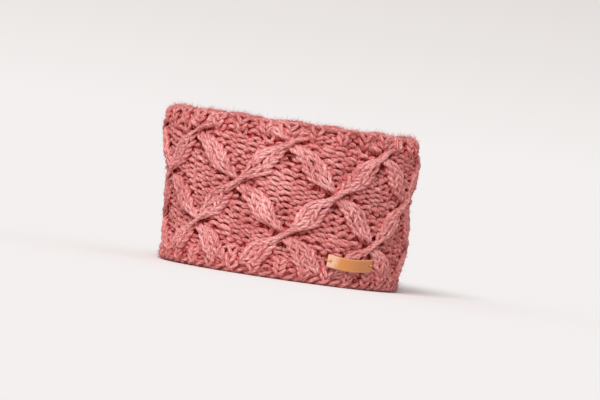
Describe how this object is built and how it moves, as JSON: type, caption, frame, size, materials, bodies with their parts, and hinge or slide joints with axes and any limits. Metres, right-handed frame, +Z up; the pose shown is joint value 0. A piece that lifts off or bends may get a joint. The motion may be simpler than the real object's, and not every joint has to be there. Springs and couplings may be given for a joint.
{
  "type": "knit headband",
  "caption": "Wide knitted wool headband: a tube with a lattice of crossing cables on a purl ground, ribbed edges and a small sewn-on leather tag.",
  "frame": {"origin": "middle of the band's lower edge, on the surface that it stands on", "axes": "+Z up along the tube from the lower edge to the cast-off edge, -Y to the front, +X to the right as seen from the front, the side that the tag is on"},
  "size_m": [0.203, 0.2192, 0.12],
  "materials": {
    "wool_knit": "chunky knitted wool, matt and slightly hairy",
    "tag_leather": "smooth vegetable-tanned leather, satin",
    "tag_thread": "twisted ochre thread"
  },
  "bodies": {
    "root": {"band": "wool_knit", "leather_tag": "tag_leather", "tag_stitch_left": "tag_thread", "tag_stitch_right": "tag_thread"}
  },
  "joints": []
}
